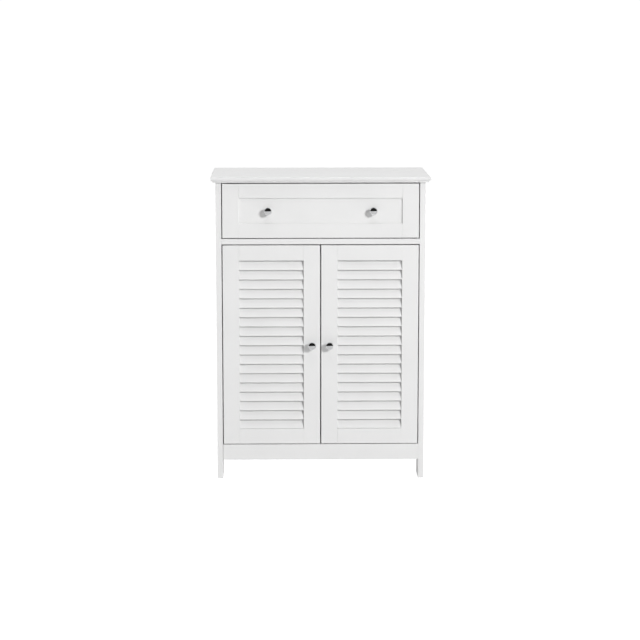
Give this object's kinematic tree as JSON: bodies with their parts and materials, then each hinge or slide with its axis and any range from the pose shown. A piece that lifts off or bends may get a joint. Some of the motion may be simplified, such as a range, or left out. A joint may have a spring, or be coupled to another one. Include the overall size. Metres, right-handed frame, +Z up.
{
  "type": "louvred door cabinet",
  "caption": "Small freestanding cupboard with a framed drawer over a pair of louvred doors, a moulded top, a plain apron and side panels cut away into feet.",
  "frame": {"origin": "on the floor, at the middle of the width and of the whole depth from the knobs to the back edge", "axes": "+Z up, +X to the right as seen from the front, the doors and the drawer face -Y"},
  "size_m": [0.599, 0.35, 0.837],
  "materials": {
    "white_lacquer": "satin white lacquer on MDF, edges eased",
    "inside_board": "white melamine-faced board",
    "hardboard": "thin white-faced hardboard",
    "chrome": "polished chrome",
    "steel": "bright zinc-plated steel",
    "runner_steel": "white epoxy-coated steel",
    "nylon": "natural nylon"
  },
  "bodies": {
    "root": {"top_panel": "white_lacquer", "side_panel_left": "white_lacquer", "side_panel_right": "white_lacquer", "divider_panel": "white_lacquer", "front_apron": "white_lacquer", "bottom_panel": "white_lacquer", "shelf": "inside_board", "back_panel": "hardboard", "left_hinge_arm_upper": "steel", "left_hinge_arm_lower": "steel", "cabinet_runner_left": "runner_steel", "shelf_pin_front_left": "steel", "shelf_pin_back_left": "steel", "right_hinge_arm_upper": "steel", "right_hinge_arm_lower": "steel", "cabinet_runner_right": "runner_steel", "shelf_pin_front_right": "steel", "shelf_pin_back_right": "steel"},
    "drawer": {"drawer_bottom": "hardboard", "drawer_side_left": "inside_board", "drawer_side_right": "inside_board", "drawer_back": "inside_board", "drawer_front_panel": "white_lacquer", "drawer_front_stile_left": "white_lacquer", "drawer_front_stile_right": "white_lacquer", "drawer_front_rail_top": "white_lacquer", "drawer_front_rail_bottom": "white_lacquer", "drawer_knob_left": "chrome", "drawer_knob_screw_left": "steel", "drawer_runner_left": "runner_steel", "drawer_knob_right": "chrome", "drawer_knob_screw_right": "steel", "drawer_runner_right": "runner_steel"},
    "left_door": {"left_door_stile_hinge": "white_lacquer", "left_door_stile_meeting": "white_lacquer", "left_door_rail_top": "white_lacquer", "left_door_rail_bottom": "white_lacquer", "left_door_louvres": "white_lacquer", "left_door_knob": "chrome", "left_door_knob_screw": "steel", "left_hinge_cup_upper": "steel", "left_hinge_cup_lower": "steel"},
    "right_door": {"right_door_stile_hinge": "white_lacquer", "right_door_stile_meeting": "white_lacquer", "right_door_rail_top": "white_lacquer", "right_door_rail_bottom": "white_lacquer", "right_door_louvres": "white_lacquer", "right_door_knob": "chrome", "right_door_knob_screw": "steel", "right_hinge_cup_upper": "steel", "right_hinge_cup_lower": "steel"},
    "left_hinge_links": {"left_hinge_link_upper": "steel", "left_hinge_link_lower": "steel"},
    "right_hinge_links": {"right_hinge_link_upper": "steel", "right_hinge_link_lower": "steel"},
    "cabinet_rollers": {"cabinet_roller_left": "nylon", "cabinet_roller_right": "nylon"},
    "drawer_rollers": {"drawer_roller_left": "nylon", "drawer_roller_right": "nylon"}
  },
  "joints": [
    {"name": "drawer_slide", "type": "slide", "parent": "root", "child": "drawer", "axis": [0, -1, 0], "range_m": [0, 0.235]},
    {"name": "left_door_hinge", "type": "hinge", "parent": "root", "child": "left_door", "pos_m": [-0.2695, -0.151, 0.3745], "axis": [0, 0, -1], "range_deg": [0, 100]},
    {"name": "right_door_hinge", "type": "hinge", "parent": "root", "child": "right_door", "pos_m": [0.2695, -0.151, 0.3745], "axis": [0, 0, 1], "range_deg": [0, 100]},
    {"name": "left_links_pivot", "type": "hinge", "parent": "root", "child": "left_hinge_links", "pos_m": [-0.2485, -0.138, 0.3745], "axis": [0, 0, -1], "range_deg": [-1, 101]},
    {"name": "right_links_pivot", "type": "hinge", "parent": "root", "child": "right_hinge_links", "pos_m": [0.2485, -0.138, 0.3745], "axis": [0, 0, 1], "range_deg": [-1, 101]},
    {"name": "cabinet_rollers_spin", "type": "hinge", "parent": "root", "child": "cabinet_rollers", "pos_m": [0, -0.12, 0.681], "axis": [1, 0, 0], "range_deg": [-5, 1930]},
    {"name": "drawer_rollers_spin", "type": "hinge", "parent": "drawer", "child": "drawer_rollers", "pos_m": [0, 0.141, 0.6805], "axis": [1, 0, 0], "range_deg": [-5, 1930]}
  ],
  "couplings": [
    {"joint": "left_links_pivot", "follows": "left_door_hinge", "ratio": 1},
    {"joint": "right_links_pivot", "follows": "right_door_hinge", "ratio": 1},
    {"joint": "cabinet_rollers_spin", "follows": "drawer_slide", "rad_per_m": 142.86},
    {"joint": "drawer_rollers_spin", "follows": "drawer_slide", "rad_per_m": 142.86}
  ]
}
